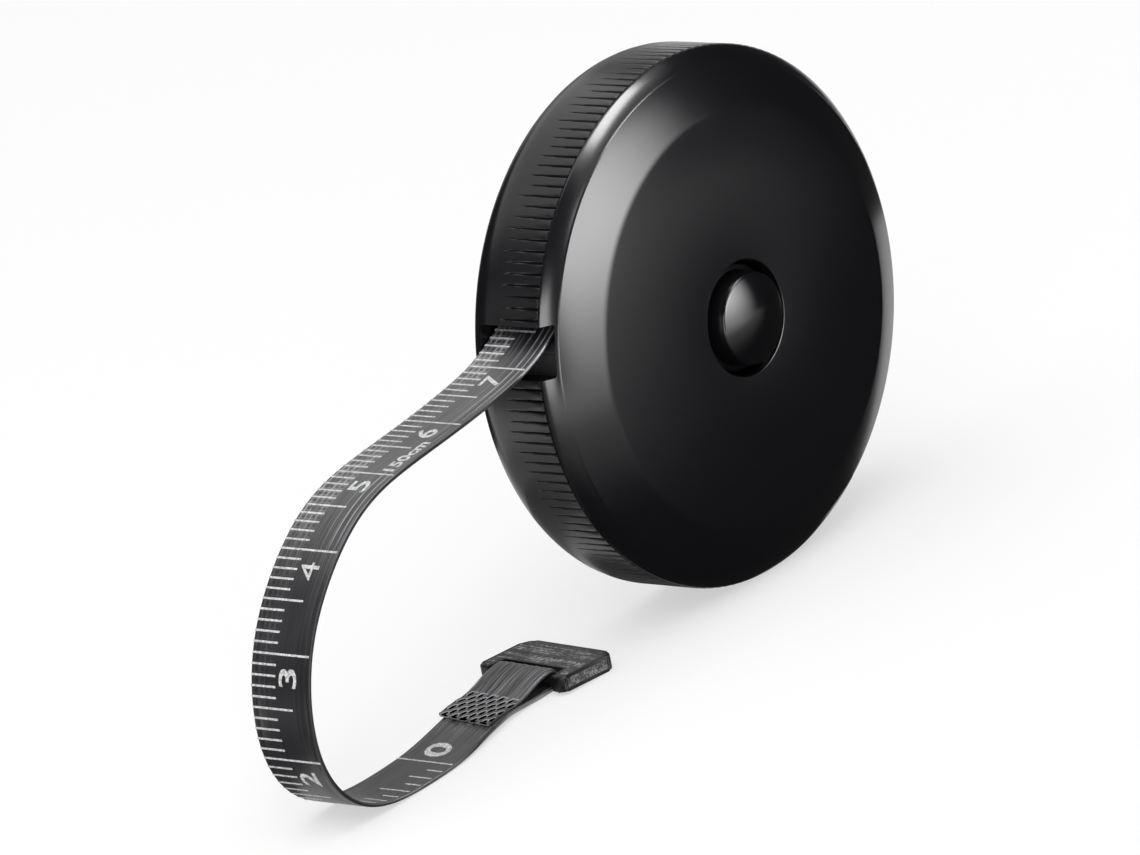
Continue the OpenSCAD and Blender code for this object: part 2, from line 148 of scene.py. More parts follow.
def path_object(name, points, turns):
    """A chain of edges with the direction across the tape, from its rear edge to its front one."""
    mesh = bpy.data.meshes.new(name)
    mesh.from_pydata(points * 0.001, [(i, i + 1) for i in range(len(points) - 1)], [])
    across = mesh.attributes.new("across", "FLOAT_VECTOR", "POINT")
    turns = np.radians(turns)
    side = np.stack([np.sin(turns), -np.cos(turns), np.zeros(len(turns))], axis=1)
    across.data.foreach_set("vector", side.ravel())
    return in_scene(name, mesh)


tape_path = path_object("tape_path", line[:, :3] + [0, tape_y, 0], line[:, 3])


def feed(node, values):
    """Sets a node's inputs, each to a plain value or to another node's output."""
    for key, value in values.items():
        if isinstance(value, bpy.types.NodeSocket):
            node.id_data.links.new(value, node.inputs[key])
        else:
            node.inputs[key].default_value = value


def add_node(tree, kind, values=None, **settings):
    made = tree.nodes.new(kind)
    for key, value in settings.items():
        setattr(made, key, value)
    feed(made, values or {})
    return made


def new_group(name, kind, inputs, outputs):
    """A group with (name, kind, usual value) inputs and outputs; gives it and its inputs."""
    tree = bpy.data.node_groups.new(name, kind + "NodeTree")
    for way, sockets in (("INPUT", inputs), ("OUTPUT", outputs)):
        for title, sort, *usual in sockets:
            socket = tree.interface.new_socket(name=title, in_out=way,
                                               socket_type="NodeSocket" + sort)
            if usual:
                socket.default_value = usual[0]
    return tree, add_node(tree, "NodeGroupInput").outputs


def onward(kind, values, **settings):
    """Adds a node to the tree of the outputs that feed it."""
    tree = next(v for v in values.values() if isinstance(v, bpy.types.NodeSocket)).id_data
    return add_node(tree, kind, values, **settings)


def end_group(start, moved):
    """Ends a geometry group: makes its instances real and sets the finish."""
    joined = onward("GeometryNodeRealizeInstances", {0: moved.outputs[0]})
    paint = onward("GeometryNodeSetMaterial", {"Geometry": joined.outputs[0],
                                               "Material": start["Finish"]})
    onward("NodeGroupOutput", {0: paint.outputs[0]})


def axes_of(vector):
    return onward("ShaderNodeSeparateXYZ", {0: vector}).outputs


def vector_calc(operation, *terms):
    """A Vector Math node on sockets and plain values; gives its result."""
    keys = (0, "Scale") if operation == "SCALE" else (0, 1)
    made = onward("ShaderNodeVectorMath", dict(zip(keys, terms)), operation=operation)
    return made.outputs[1 if operation in ("LENGTH", "DOT_PRODUCT") else 0]


# Bends a flat piece along the path: x runs along the tape, y across it, z out of its scale face.
follow, start = new_group("follow the tape", "Geometry", [
    ("Flat Piece", "Geometry"), ("Path", "Object"), ("Finish", "Material")],
    [("Bent Piece", "Geometry")])
flat = axes_of(add_node(follow, "GeometryNodeInputPosition").outputs[0])
path_info = onward("GeometryNodeObjectInfo", {"Object": start["Path"]})
chain = onward("GeometryNodeMeshToCurve", {"Mesh": path_info.outputs["Geometry"]})
side = add_node(follow, "GeometryNodeInputNamedAttribute", {"Name": "across"},
                data_type="FLOAT_VECTOR")
there = onward("GeometryNodeSampleCurve", {
    "Curves": chain.outputs["Curve"], "Value": side.outputs["Attribute"], "Length": flat["X"]},
    mode="LENGTH", data_type="FLOAT_VECTOR", use_all_curves=True).outputs
outward = vector_calc("NORMALIZE", vector_calc("CROSS_PRODUCT", there["Tangent"], there["Value"]))
across_by = vector_calc("SCALE", there["Value"], flat["Y"])
out_by = vector_calc("SCALE", outward, flat["Z"])
bent_place = vector_calc("ADD", vector_calc("ADD", there["Position"], across_by), out_by)
end_group(start, onward("GeometryNodeSetPosition", {"Geometry": start["Flat Piece"],
                                                    "Position": bent_place}))


def plain_mesh(piece):
    """A new mesh of what the piece's modifiers give."""
    bpy.context.view_layer.update()
    return bpy.data.meshes.new_from_object(
        piece.evaluated_get(bpy.context.evaluated_depsgraph_get()))


def settle(piece):
    """Keeps what the piece's modifiers give as its own mesh, and drops them."""
    mesh = plain_mesh(piece)
    piece.modifiers.clear()
    piece.data = mesh
    mesh.name = piece.name
    return piece


def run_tree(piece, tree, values):
    """Sets the tree's inputs by name and settles the piece."""
    modifier = piece.modifiers.new(tree.name, "NODES")
    modifier.node_group = tree
    for socket in tree.interface.items_tree:
        if socket.in_out == "INPUT" and socket.name in values:
            modifier[socket.identifier] = values[socket.name]
    return settle(piece)


def shade(mesh, angle=35):
    mesh.polygons.foreach_set("use_smooth", np.ones(len(mesh.polygons), bool))
    mesh.set_sharp_from_angle(angle=math.radians(angle))


def flat_piece(name, corners, faces, unrolled=None):
    """A piece in the tape's flat state, in mm, with its place on the tape as its UV map."""
    corners = np.array(corners, float)
    mesh = bpy.data.meshes.new(name)
    mesh.from_pydata(corners * 0.001, [], faces)
    work = bmesh.new()
    work.from_mesh(mesh)
    bmesh.ops.recalc_face_normals(work, faces=work.faces)
    work.to_mesh(mesh)
    work.free()
    laid = corners if unrolled is None else np.array(unrolled, float)
    layer = mesh.uv_layers.new(name="UVMap")
    of_corner = np.zeros(len(mesh.loops), int)
    mesh.loops.foreach_get("vertex_index", of_corner)
    layer.data.foreach_set("uv", laid[of_corner, :2].ravel())
    return in_scene(name, mesh)


def bent(name, shape, finish, path=tape_path):
    """A flat piece of the given corners and faces, bent along a path."""
    return run_tree(flat_piece(name, *shape), follow, {"Path": path, "Finish": finish})


def strip(stations, section):
    """Corners and faces of a closed flat strip with the given cross section of (y, z) points."""
    n = len(section)
    corners = [(s, y, z) for s in stations for y, z in section]
    faces = [(i * n + k, (i + 1) * n + k, (i + 1) * n + (k + 1) % n, i * n + (k + 1) % n)
             for i in range(len(stations) - 1) for k in range(n)]
    last = (len(stations) - 1) * n
    return corners, faces + [tuple(range(n)), tuple(range(last, last + n))]


def closed(edge, middle=()):
    """A cross section from the upper points of its rear edge and those between the edges."""
    top = [*edge, *middle, *((-y, z) for y, z in edge[::-1])]
    return top + [(y, -z) for y, z in top[-2:0:-1]]


def cross_section(thick, width=tape_w):
    """Rounded edges, and a fine pressed line 0.7 mm in from each edge of both faces."""
    h = thick / 2
    e = width / 2
    return closed([(-e, 0), (-e + 0.02, 0.5 * h), (-e + 0.08, 0.85 * h), (-e + 0.2, h),
                   (-e + 0.58, h), (-e + 0.7, h - 0.035), (-e + 0.82, h), (-1.6, h)], [(0, h)])


def calc(operation, *terms, clamp=False):
    """A Math node on sockets and plain numbers; gives its result."""
    return onward("ShaderNodeMath", dict(enumerate(terms)), operation=operation,
                  use_clamp=clamp).outputs[0]


def product(result, *terms):
    for term in terms:
        result = calc("MULTIPLY", result, term)
    return result


def ramp(value, low, high, first, last, way="LINEAR"):
    """Goes from one level to another as a value goes from low to high."""
    return onward("ShaderNodeMapRange", {
        "Value": value, "From Min": low, "From Max": high, "To Min": first, "To Max": last},
        interpolation_type=way).outputs[0]


def ramps(value, *steps):
    """The product of smooth ramps."""
    return product(*(ramp(value, *step, "SMOOTHSTEP") for step in steps))


def plotted(value, points):
    """A smooth curve of a value from 0 to 1 through the given (place, height) points."""
    made = onward("ShaderNodeFloatCurve", {"Value": value})
    curve = made.mapping.curves[0]
    curve.points[0].location = points[0]
    curve.points[1].location = points[-1]
    for x, y in points[1:-1]:
        curve.points.new(x, y)
    made.mapping.update()
    return made.outputs[0]


def cloud(vector, scale, detail=2, roughness=0.5):
    """A noise of the given fineness."""
    return onward("ShaderNodeTexNoise", {
        "Vector": vector, "Scale": scale, "Detail": detail, "Roughness": roughness}).outputs["Fac"]


def noise(vector, stretch, detail=2, roughness=0.5):
    """A noise with a fineness of its own along each axis."""
    return cloud(onward("ShaderNodeMapping", {0: vector, "Scale": stretch}).outputs[0], 1.0,
                 detail, roughness)


def tinted(share, first, second):
    """A colour between two, each a socket or plain values."""
    first, second = ((*c, 1) if isinstance(c, tuple) else c for c in (first, second))
    return onward("ShaderNodeMix", {0: share, 6: first, 7: second}, data_type="RGBA").outputs[2]


def bumped(height, strength, distance, **more):
    return onward("ShaderNodeBump", {"Height": height, "Strength": strength, "Distance": distance,
                                     **more}).outputs[0]


def new_material(name):
    """A material with its tree and the shader in it."""
    made = bpy.data.materials.new(name)
    made.use_nodes = True
    return made, made.node_tree, made.node_tree.nodes["Principled BSDF"]


# Coated cloth: charcoal plastic over a square weave, with long streaks from the coating. The weave
# shows under the ticks, and pressed lines run along the edges. The weave, the lines and fine hairs
# are painted lighter, most in a few stretches along the tape: painted sheen where highlights fall on
# it. The weld's sunk ovals get painted shade inside and painted highlights on their lips.
tape_finish, tree, body = new_material("coated tape")
laid = add_node(tree, "ShaderNodeUVMap", uv_map="UVMap").outputs[0]
along, over, _ = axes_of(laid)
look_l = 120.0
far_on = calc("DIVIDE", calc("PINGPONG", along, look_l), look_l)
threads = []
for way, pitch, strength in ((over, 0.64, 1.0), (along, 0.5, 0.6)):
    wave = calc("COSINE", calc("MULTIPLY", way, math.tau / pitch))
    threads.append(product(ramps(wave, (0.35, 0.98, 0.0, 1.0)), strength))
# The weave is painted stronger in the stretches where a highlight grazes the tape: painted sheen.
weave_and_sheen = product(
    calc("MAXIMUM", *threads), ramps(over, (-0.9, -0.5, 1, 0)), plotted(far_on, (
        (0, 1), (0.165, 0.9), (0.2, 0.3), (0.27, 0.25), (0.32, 0.95), (0.38, 0.8), (0.42, 0.12),
        (0.5, 0.1), (0.56, 0.03), (1, 0.03))),
    ramps(noise(laid, (0.5, 0.9, 1), 3), (0.37, 0.58, 0.3, 1)))
# Light lines along the edges, strongest in a few stretches: painted highlights.
edge_lines_and_sheen = None
for place, half, strength in ((3.54, 0.06, 0.8), (2.92, 0.09, 0.9), (2.2, 0.12, 1.0),
                              (1.25, 0.08, 0.5), (-3.54, 0.06, 0.5)):
    off = calc("ABSOLUTE", calc("SUBTRACT", over, place))
    one = ramps(off, (half * 0.35, half, strength, 0))
    edge_lines_and_sheen = calc("MAXIMUM", edge_lines_and_sheen, one) if edge_lines_and_sheen else one
edge_lines_and_sheen = product(
    edge_lines_and_sheen, plotted(far_on, (
        (0, 0.9), (0.2, 0.85), (0.25, 0.35), (0.31, 0.3), (0.35, 0.8), (0.4, 0.55), (0.44, 0.08),
        (0.78, 0.05), (1, 0.1))),
    ramps(noise(laid, (0.25, 3, 1), 4), (0.34, 0.5, 0.35, 1)))
streaks = noise(laid, (0.05, 2.6, 1), 4, 0.6)
# Light hairs along the tape, strongest from the weld round the bar: painted highlights.
hairs_and_sheen = product(
    ramps(noise(laid, (0.09, 8, 1), 3, 0.6), (0.47, 0.66, 0, 0.8)), plotted(far_on, (
        (0, 0.4), (0.3, 0.22), (0.4, 0.35), (0.45, 0.06), (0.6, 0.04), (0.78, 0.2), (0.84, 0.95),
        (0.94, 0.95), (1, 0.2))))
# All the painted sheen and highlights of the tape, as lighter marks in its colour.
light_marks_and_sheen = calc("MAXIMUM", calc("MAXIMUM", weave_and_sheen, edge_lines_and_sheen), hairs_and_sheen)
pressed = add_node(tree, "ShaderNodeAttribute", attribute_name="pressed").outputs["Fac"]
# Painted highlights on the lips of the weld's sunk ovals, and painted shade in them, where the gloss
# is taken out too.
lip_highlight = ramps(pressed, (0.01, 0.12, 0, 1), (0.16, 0.4, 1, 0))
hole_shade = ramps(pressed, (0.2, 0.5, 0, 1))
colour = tinted(streaks, (0.003, 0.003, 0.004), (0.022, 0.022, 0.026))
for mask, tone in ((light_marks_and_sheen, (0.42, 0.42, 0.43)), (lip_highlight, (0.4, 0.4, 0.41)),
                   (hole_shade, (0.001, 0.001, 0.001))):
    colour = tinted(mask, colour, tone)
relief = calc("ADD", calc("MULTIPLY", light_marks_and_sheen, 0.6), streaks)
feed(body, {"Base Color": colour, "Specular IOR Level": calc("MULTIPLY_ADD", hole_shade, -0.65, 0.65),
            "Roughness": ramp(streaks, 0, 1, 0.28, 0.42),
            "Normal": bumped(relief, 0.6, 0.00003)})

# The scale is printed in matt off-white ink that has worn thin in places.
ink, tree, body = new_material("printed scale")
laid = add_node(tree, "ShaderNodeUVMap", uv_map="UVMap").outputs[0]
thin = ramp(cloud(laid, 3.2, 5, 0.7), 0.38, 0.6, 0, 1)
feed(body, {"Base Color": tinted(thin, (0.36, 0.36, 0.37), (0.84, 0.84, 0.84)),
            "Roughness": 0.7, "Specular IOR Level": 0.3})


# ---- The free tape ----
# The part of the tape between the mouth and the weld: a limp ribbon, with a centimetre scale on the
# outside of the curl and an inch scale on the inside, both counted from the same line near the tab.

mouth_s = station(-26.3, 31.45) - 0.15
weld_s = station(-41.5, 0.55)
zero_s = station(-64.8, 7.8) + 20
mark_w = 0.2


def figures(text, tall, wide, bold=0.014):
    """Corners and faces of a word in the flat frame, its middle at the origin, reading along +x."""
    curve = bpy.data.curves.new("figures", "FONT")
    curve.body = text
    curve.resolution_u = 3
    curve.offset = bold
    made = in_scene("figures", curve)
    mesh = plain_mesh(made)
    bpy.data.objects.remove(made)
    work = bmesh.new()
    work.from_mesh(mesh)
    bmesh.ops.remove_doubles(work, verts=work.verts, dist=1e-5)
    co = np.array([v.co for v in work.verts])
    low = co.min(0)
    size = co.max(0) - low
    for v in work.verts:
        v.co.x = (v.co.x - low[0] - size[0] / 2) * wide / size[0]
        v.co.y = (v.co.y - low[1] - size[1] / 2) * tall / size[1]
    for x in np.arange(-wide / 2 + 0.4, wide / 2, 0.4):
        bmesh.ops.bisect_plane(work, geom=work.verts[:] + work.edges[:] + work.faces[:],
                               plane_co=(x, 0, 0), plane_no=(1, 0, 0))
    work.verts.ensure_lookup_table()
    corners = np.array([v.co for v in work.verts])
    faces = [[v.index for v in f.verts] for f in work.faces]
    edges = [(e.verts[0].index, e.verts[1].index) for e in work.edges if len(e.link_faces) == 1]
    work.free()
    return corners, faces, edges


@functools.cache
def number(n):
    wide = 0.9 if n == 1 else 1.95 * len(str(n)) - 0.2
    return figures(str(n), 2.2, wide, 0.0 if "4" in str(n) else 0.014)


# For each face: a step's length, steps in a whole, the lines' lengths from the whole's down, and
# where the figures' middle is after their line and from the ticked edge, with half their height.
scale_kinds = {1: (1.0, 10, ((10, tape_w), (5, 5.1), (1, 3.1)), 2.1, 4.6, 1.0),
               -1: (25.4 / 16, 16, ((16, tape_w), (8, 5), (4, 3.9), (2, 3), (1, 2.1)), 2.2, 4.7, 1.1)}


class Print:
    """Collects the marks of one face of the tape as thin raised shapes in its flat frame."""

    def __init__(self, face, depths=(tape_t / 2 - 0.02, tape_t / 2 + 0.022)):
        self.face = face
        self.depths = [face * depth for depth in depths]
        self.shape = self.corners, self.faces = [], []

    def add(self, corners, faces):
        first = len(self.corners)
        self.corners.extend(corners)
        self.faces.extend([[first + i for i in f] for f in faces])

    def line(self, s, length):
        """A line across the tape from its ticked edge: the rear one outside, the front inside."""
        far = -self.face * tape_w / 2
        y0 = far + self.face * (0.04 if self.face > 0 else 0.2)
        y1 = far + self.face * min(length, tape_w - 0.2)
        box = [(x, y, z) for x in (s - mark_w / 2, s + mark_w / 2) for y in (y0, y1)
               for z in sorted(self.depths)]
        self.add(box, [(0, 1, 3, 2), (4, 6, 7, 5), (0, 4, 5, 1), (2, 3, 7, 6), (0, 2, 6, 4),
                       (1, 5, 7, 3)])

    def word(self, shape, s, from_edge):
        """Figures with their tops to the ticked edge, which read towards the case outside."""
        corners, faces, edges = shape
        x = s - corners[:, 0]
        y = -self.face * tape_w / 2 + self.face * (from_edge - corners[:, 1])
        low, top = (np.stack([x, y, np.full(len(x), depth)], axis=1) for depth in self.depths)
        n = len(corners)
        sides = [(a, b, n + b, n + a) for a, b in edges]
        under = [[n + i for i in reversed(f)] for f in faces]
        self.add([tuple(c) for c in np.vstack([top, low])], faces + sides + under)

    def scale(self, from_s, to_s, zero):
        """The scale between two stations; zero is the station of its first line."""
        step, whole, sizes, after, from_edge, half = scale_kinds[self.face]
        for k in range(max(0, math.ceil((zero - to_s) / step)),
                       math.floor((zero - from_s) / step) + 1):
            s = zero - k * step
            if from_s + 0.15 < s < to_s - 0.15:
                self.line(s, next(size for steps, size in sizes if k % steps == 0))
            if k % whole == 0 and k and from_s < s + after - half and s + after + half < to_s:
                self.word(number(k // whole), s + after, from_edge)


section = cross_section(tape_t)
tape = bent("tape", strip(np.append(np.arange(mouth_s, weld_s, 0.5), weld_s), section), tape_finish)
shade(tape.data)

front_scale = Print(1)
front_scale.scale(mouth_s, weld_s, zero_s)
front_scale.word(figures("150cm", 1.35, 5.7, 0.03), zero_s - 50 - 3.45, 5.85)
inner_scale = Print(-1)
inner_scale.scale(mouth_s, weld_s, zero_s)
inner_scale.word(figures("0", 3.0, 2.8, 0.02), zero_s + 2.4, 3.8)
for piece in (bent("scale_centimetres", front_scale.shape, ink),
              bent("scale_inches", inner_scale.shape, ink), tape):
    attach(piece, "tape_end")
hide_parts("tape_blade")


# ---- The welded end of the tape ----
# The tape goes under the bar of the tab, round it and back over itself. A hot press with slanted
# teeth has welded the two layers. It leaves rows of sunk ovals in the fold, and fainter ones in the
# lower layer just past the fold's end.

fold_end = float(run[-1])
weld_from = fold_end - 5.4
faint_to = weld_s + 1.8
weld_pitch = (0.82, 1.42)
weld_slant = math.radians(19)
oval = (0.62, 0.26)


def weld_depth(x, y):
    """How deep the press has sunk the place (x along the tape from the fold's end, y across)."""
    row = np.round(x / weld_pitch[0])
    column = np.round((y - row % 2 * weld_pitch[1] / 2) / weld_pitch[1])
    deepest = np.zeros(np.shape(x))
    for here in (row - 1, row, row + 1):
        for c in (-1, 0, 1):
            u = x - here * weld_pitch[0]
            v = y - here % 2 * weld_pitch[1] / 2 - (column + c) * weld_pitch[1]
            along = u * math.cos(weld_slant) + v * math.sin(weld_slant)
            over = v * math.cos(weld_slant) - u * math.sin(weld_slant)
            d = np.hypot(along / oval[0], over / oval[1])
            deepest = np.maximum(deepest, np.clip((1.15 - d) / 0.5, 0, 1))
    return deepest


fine_section = closed([(-3.65, 0), (-3.63, 0.1), (-3.57, 0.17)],
                      [(y, 0.2) for y in np.arange(-3.45, 3.46, 0.115)])
bend_s = station(-34, 0.35)
stations = np.concatenate([np.arange(weld_s, faint_to, 0.11), np.arange(faint_to, bend_s, 0.5),
                           np.arange(bend_s, weld_from - 0.4, 0.2),
                           np.arange(weld_from - 0.4, fold_end, 0.11), [fold_end]])
corners, faces = strip(stations, fine_section)
corners = np.array(corners)
s, y, z = corners.T
on_fold = (z > 0.15) & (s > weld_from - 0.3)
on_lower = (z < -0.15) & (s < faint_to)
from_end = np.where(on_fold, fold_end - s, weld_s + 1.3 - s)
sunk = weld_depth(from_end, np.where(on_fold, y, y + 0.4)) * (on_fold + 0.5 * on_lower)
sunk = sunk * (0.82 + 0.18 * np.sin(1.9 * s + 2.6 * y) * np.cos(1.3 * y - 0.7 * s))
sunk = sunk * (np.clip((s - weld_from) / 0.5, 0, 1) * on_fold
               + on_lower * np.clip((s - weld_s - 0.25) / 0.5, 0, 1))
corners[:, 2] -= np.sign(z) * 0.17 * sunk
# long puckers over the bar, which die out before the weld
loop_mid = station(bar[0] + loop_r, bar[2])
puckers = np.zeros(len(y))
for middle, width, tall in ((-2.9, 0.16, 0.09), (-2.1, 0.22, 0.135), (-1.2, 0.18, 0.09),
                            (-0.35, 0.25, 0.12), (0.6, 0.15, 0.075), (1.3, 0.22, 0.12),
                            (2.2, 0.18, 0.09), (2.9, 0.2, 0.105)):
    puckers += tall * np.exp(-0.5 * ((y - middle - 0.05 * (s - loop_mid)) / width) ** 2)
swell = np.exp(-0.5 * ((s - loop_mid - 3.0) / 2.0) ** 2)
corners[:, 2] += (z > 0.15) * puckers * swell
weld = flat_piece("tape_weld", corners, faces)
# The depth is kept for the tape's finish, which paints shade in the ovals and highlights on their
# lips.
mark = weld.data.attributes.new("pressed", "FLOAT", "POINT")
mark.data.foreach_set("value", (sunk * on_fold).astype(np.float32))
run_tree(weld, follow, {"Path": tape_path, "Finish": tape_finish})
shade(weld.data, 60)
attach(weld, "tape_end")
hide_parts("tape_loop")


# ---- The tape inside the mouth, and the tape as it is pulled out ----
# The last of the tape before the mouth stays with the case. A thinner stretch of it lies folded up
# inside the thick tape at the lip, and is drawn out to 1.4 m when the tape is pulled.

stub = bent("tape_in_mouth", strip(np.append(np.arange(0, mouth_s, 0.5), mouth_s), section),
            tape_finish)
shade(stub.data)
stub_scale = Print(1)
stub_scale.scale(0, mouth_s, zero_s)
for piece in (stub, bent("scale_in_mouth", stub_scale.shape, ink)):
    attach(piece, "case")
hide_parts("tape_run")

pull = 1400
draw_s = (station(-25.8, 31.6), station(-26.8, 31.3))
draw_from, draw_to = (np.array([np.interp(d, run, line[:, c]) for c in range(3)]) + [0, tape_y, 0]
                      for d in draw_s)
draw_way = draw_to - draw_from
draw_out = np.cross(draw_way, [0, -1, 0])
draw_out = draw_out / np.linalg.norm(draw_out)


def fold_up(corners):
    """Puts places of the drawn-out tape (x from 0 to 1400) where they lie when it is wound in."""
    corners = np.array(corners, float)
    share = np.clip(corners[:, 0] / pull, 0, 1)
    t = 0.5 - np.sin(np.arcsin(1 - 2 * share) / 3)
    beyond = corners[:, 0] - share * pull
    rest = draw_from + t[:, None] * draw_way + beyond[:, None] * draw_way / np.linalg.norm(draw_way)
    return rest + corners[:, 1:2] * [0, -1, 0] + corners[:, 2:3] * draw_out


corners, faces = strip(np.concatenate([[-0.6], np.linspace(0, pull, 281), [pull + 0.6]]),
                       cross_section(0.3, 7.2))
ribbon = flat_piece("tape_drawn_out", fold_up(corners), faces, corners)
shade(ribbon.data)
ribbon.data.materials.append(tape_finish)
drawn_prints = []
for name, face in (("scale_drawn_centimetres", 1), ("scale_drawn_inches", -1)):
    page = Print(face, (0.13, 0.172))
    page.scale(0, pull, pull + zero_s - mouth_s)
    drawn_prints.append(flat_piece(name, fold_up(page.corners), page.faces, page.corners))
    drawn_prints[-1].data.materials.append(ink)
for piece in (*drawn_prints, ribbon):
    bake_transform(piece)


# ---- The end tab ----
# A small moulded tab to pull the tape by. Two arms carry the bar in the tape's loop; its top has
# fine drag lines across it, and its two ends are rubbed where it was cut from its runner. Top and
# ends are lighter copies of its plastic, painted light: the drag lines lighter still as painted
# highlights, and the ends speckled as painted sheen on their rough skin.

tab_w = 11.6
tab_t = 1.6
tab_near, tab_far = -0.85, 6.2
tab_tilt = 2.2
arm_w = 1.5
slot_end = 1.55
bar_r = 0.6


def corner(x, y, r, from_deg, to_deg, steps=6):
    """Points round a corner whose middle is (x, y)."""
    return [(x + r * math.cos(a), y + r * math.sin(a))
            for a in np.radians(np.linspace(from_deg, to_deg, steps + 1))]


def piece_of(work, name, place=Matrix()):
    """A piece in the scene from a shape worked out in mm."""
    mesh = bpy.data.meshes.new(name)
    work.to_mesh(mesh)
    work.free()
    mesh.transform(Matrix.Scale(0.001, 4) @ place)
    return in_scene(name, mesh)


e = tab_w / 2
i = e - arm_w
tab_outline = (corner(tab_near + 0.7, -e + 0.7, 0.7, 180, 270)
               + corner(tab_far - 0.9, -e + 0.9, 0.9, 270, 360)
               + corner(tab_far - 1.3, e - 1.3, 1.3, 0, 90)
               + corner(tab_near + 0.8, e - 0.8, 0.8, 90, 180)
               + [(tab_near, i)] + corner(slot_end - 0.3, i - 0.3, 0.3, 90, 0, 3)
               + corner(slot_end - 0.3, -i + 0.3, 0.3, 0, -90, 3) + [(tab_near, -i)])
work = bmesh.new()
n = len(tab_outline)
low, high = ([work.verts.new((x, y, z)) for x, y in tab_outline] for z in (-tab_t / 2, tab_t / 2))
rims = [work.faces.new(low[::-1]), work.faces.new(high)]
for k in range(n):
    work.faces.new((low[k], low[(k + 1) % n], high[(k + 1) % n], high[k]))
bmesh.ops.bevel(work, geom=[edge for face in rims for edge in face.edges], offset=0.26,
                segments=3, profile=0.6, affect="EDGES")
bmesh.ops.recalc_face_normals(work, faces=work.faces)
# the drag lines and the rubbing stop short of the smooth edges
top_faces = [face for face in work.faces if face.normal.z > 0.99 and len(face.verts) > 20]
end_faces = [face for face in work.faces
             if abs(face.normal.y) > 0.9 and abs(face.calc_center_median().y) > e - 0.2]
for faces, rim_w, depth, index in ((top_faces, 0.35, -0.012, 1), (end_faces, 0.1, -0.03, 2)):
    bmesh.ops.inset_individual(work, faces=faces, thickness=rim_w, depth=depth)
    for face in faces:
        face.material_index = index
bar_round = corner(0, 0, bar_r, 0, 350, 35)
here, on = ([work.verts.new((x, y, z)) for x, z in bar_round] for y in (-i - 0.4, i + 0.4))
for k in range(len(bar_round)):
    m = (k + 1) % len(bar_round)
    work.faces.new((here[k], on[k], on[m], here[m]))
work.faces.new(here)
work.faces.new(on[::-1])
tab = piece_of(work, "pull_tab", Matrix.Translation(bar)
               @ Matrix.Rotation(math.radians(bar_turn), 4, "Z")
               @ Matrix.Rotation(math.radians(tab_tilt), 4, "Y"))
shade(tab.data)


def object_place(tree):
    return add_node(tree, "ShaderNodeTexCoord").outputs["Object"]


# What every moulded black piece has: a skin that is not quite even, fine scuffs and a little dust.
skin, start = new_group("moulded skin", "Shader", [
    ("Roughness", "Float", 0.3), ("Unevenness", "Float", 0.1), ("Grain", "Float", 900.0),
    ("Scuffs", "Float", 0.3)], [("Roughness", "Float"), ("Height", "Float"), ("Scuff", "Float")])
where = object_place(skin)
pulled = onward("ShaderNodeMapping", {0: where, "Scale": (1, 1, 9), "Rotation": (0.6, 0.4, 0.2)})
hair = cloud(pulled.outputs[0], 260.0, 6, 0.75)
scuff = product(ramp(hair, 0.6, 0.78, 0, 1), start["Scuffs"])
uneven = calc("MULTIPLY_ADD", calc("SUBTRACT", cloud(where, 70.0, 3), 0.5), start["Unevenness"],
              start["Roughness"])
onward("NodeGroupOutput", {"Roughness": calc("MULTIPLY_ADD", scuff, 0.25, uneven),
                           "Height": cloud(where, start["Grain"]), "Scuff": scuff})


def moulded(name, colour, rubbed, specular, roughness, unevenness, grain, scuffs, bump):
    """A moulded plastic whose scuffs show the rubbed colour."""
    made, tree, body = new_material(name)
    surface = add_node(tree, "ShaderNodeGroup", {
        "Roughness": roughness, "Unevenness": unevenness, "Grain": grain, "Scuffs": scuffs},
        node_tree=skin).outputs
    feed(body, {"Base Color": tinted(surface["Scuff"], colour, rubbed),
                "Specular IOR Level": specular, "Roughness": surface["Roughness"],
                "Normal": bumped(surface["Height"], 1.0, bump)})
    return made


tab_finish = moulded("tab plastic", (0.006, 0.006, 0.007), (0.03, 0.03, 0.032), 0.3, 0.34, 0.2,
                     2600.0, 0.5, 0.00001)
# Lighter copies of the plastic for the top and for the ends: painted light.
tab_top_painted_light = moulded("tab plastic, worn top", (0.012, 0.012, 0.013), (0.05, 0.05, 0.052), 0.3, 0.42,
                   0.25, 2600.0, 0.7, 0.00001)
tab_ends_painted_sheen = moulded("tab plastic, rubbed ends", (0.03, 0.03, 0.032), (0.1, 0.1, 0.105), 0.3,
                     0.5, 0.3, 2400.0, 1.0, 0.00003)
